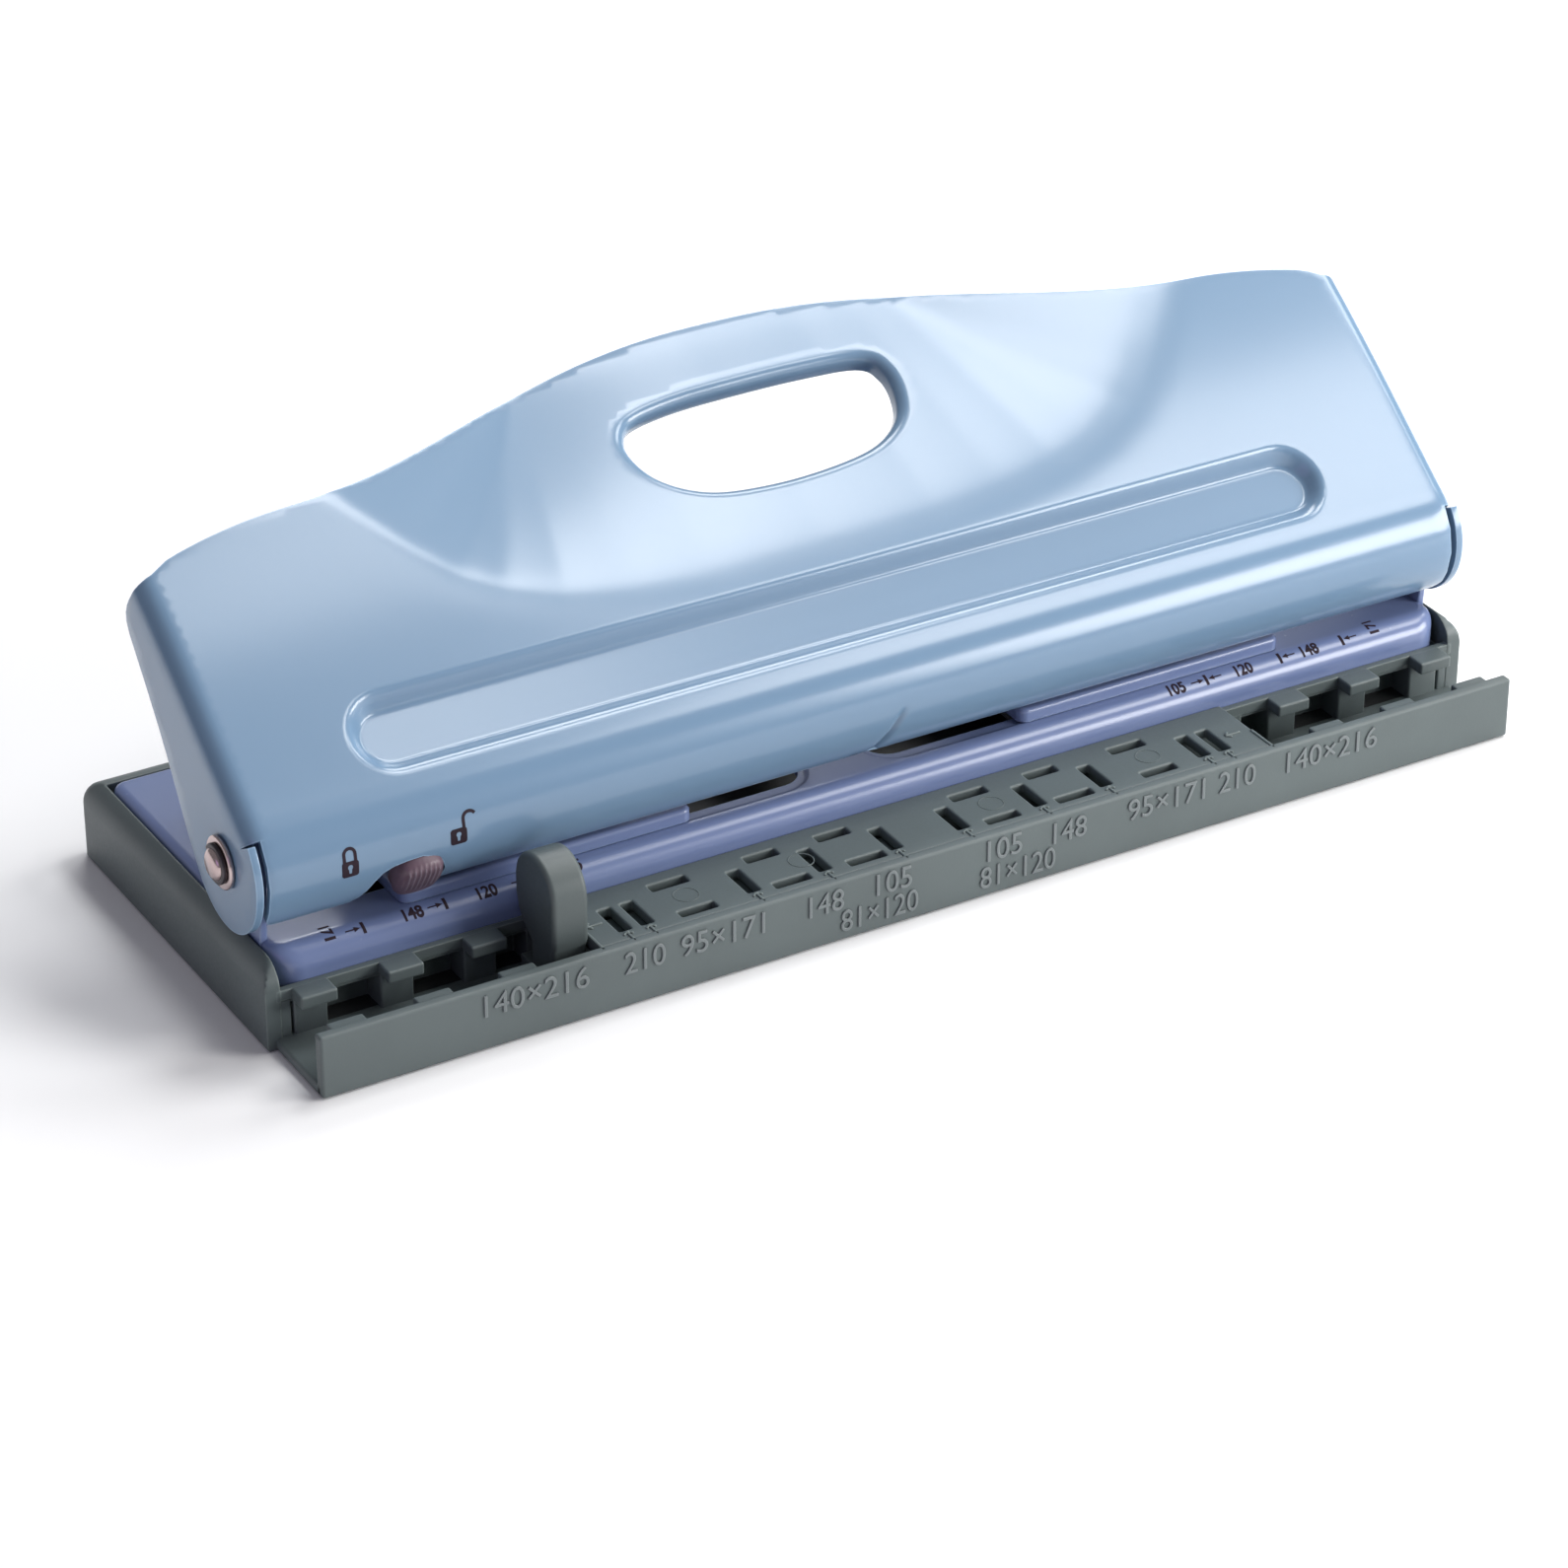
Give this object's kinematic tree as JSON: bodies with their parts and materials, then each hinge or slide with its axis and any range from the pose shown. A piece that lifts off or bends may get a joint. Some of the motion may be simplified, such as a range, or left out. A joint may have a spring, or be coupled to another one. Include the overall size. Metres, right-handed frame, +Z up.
{
  "type": "adjustable six-hole paper punch",
  "caption": "Desk hole punch with a long sprung handle, sliding heads of round punches, a page edge guide and a chip tray base.",
  "frame": {"origin": "centre of the underside of the chip tray base", "axes": "+X along the punch to the right as the user sees it, +Y away from the user, +Z up; the lock and the page guide are at -X"},
  "size_m": [0.2196, 0.0824, 0.0677],
  "materials": {
    "tray_plastic": "fine textured moulded plastic",
    "guide_plastic": "fine textured moulded plastic",
    "lock_plastic": "satin moulded plastic with ribs",
    "white_plastic": "plain nylon",
    "handle_paint": "semi-gloss powder coat",
    "bed_paint": "semi-gloss powder coat",
    "pivot_steel": "turned and polished",
    "zinc_steel": "dull zinc plate",
    "spring_steel": "drawn wire and strip",
    "punch_steel": "ground",
    "dark_steel": "blackened"
  },
  "bodies": {
    "base": {"base_tray": "tray_plastic", "bed_plate": "bed_paint", "bed_ears": "bed_paint", "pivot_rod": "pivot_steel", "pivot_bushes": "white_plastic", "pivot_washers": "pivot_steel", "pivot_clips": "dark_steel", "head_rail": "zinc_steel", "rail_rivets": "zinc_steel"},
    "handle": {"handle_shell": "handle_paint", "pressure_bar": "zinc_steel", "pressure_bar_welds": "dark_steel"},
    "lock": {"lock_slide": "zinc_steel", "lock_knob": "lock_plastic"},
    "page_guide": {"edge_guide": "guide_plastic"},
    "left_head": {"left_die_plate": "bed_paint", "left_keeper_plate": "zinc_steel", "left_punch_bracket": "zinc_steel", "left_head_rivets": "zinc_steel", "left_detent_spring": "spring_steel", "left_return_springs": "spring_steel"},
    "left_punches": {"left_punch_outer": "punch_steel", "left_punch_middle": "punch_steel", "left_punch_inner": "punch_steel", "left_punch_rings": "dark_steel"},
    "right_head": {"right_die_plate": "bed_paint", "right_keeper_plate": "zinc_steel", "right_punch_bracket": "zinc_steel", "right_head_rivets": "zinc_steel", "right_detent_spring": "spring_steel", "right_return_springs": "spring_steel"},
    "right_punches": {"right_punch_outer": "punch_steel", "right_punch_middle": "punch_steel", "right_punch_inner": "punch_steel", "right_punch_rings": "dark_steel"}
  },
  "joints": [
    {"name": "handle_hinge", "type": "hinge", "parent": "base", "child": "handle", "pos_m": [0, -0.0136, 0.0263], "axis": [1, 0, 0], "range_deg": [-20, 0], "stiffness_Nm_per_rad": 0.6, "springref_deg": 22.92},
    {"name": "lock_travel", "type": "slide", "parent": "base", "child": "lock", "axis": [1, 0, 0], "range_m": [-0.0036, 0]},
    {"name": "guide_travel", "type": "slide", "parent": "base", "child": "page_guide", "axis": [1, 0, 0], "range_m": [-0.048, 0]},
    {"name": "left_head_travel", "type": "slide", "parent": "base", "child": "left_head", "axis": [1, 0, 0], "range_m": [-0.0073, 0.0215]},
    {"name": "right_head_travel", "type": "slide", "parent": "base", "child": "right_head", "axis": [1, 0, 0], "range_m": [-0.0245, 0.0109]},
    {"name": "left_punch_stroke", "type": "slide", "parent": "left_head", "child": "left_punches", "axis": [0, 0, 1], "range_m": [-0.0056, 0], "deforming": ["left_return_springs"]},
    {"name": "right_punch_stroke", "type": "slide", "parent": "right_head", "child": "right_punches", "axis": [0, 0, 1], "range_m": [-0.0056, 0], "deforming": ["right_return_springs"]}
  ],
  "couplings": [
    {"joint": "left_punch_stroke", "follows": "handle_hinge", "m_per_rad": 0.0156},
    {"joint": "right_punch_stroke", "follows": "handle_hinge", "m_per_rad": 0.0156}
  ]
}
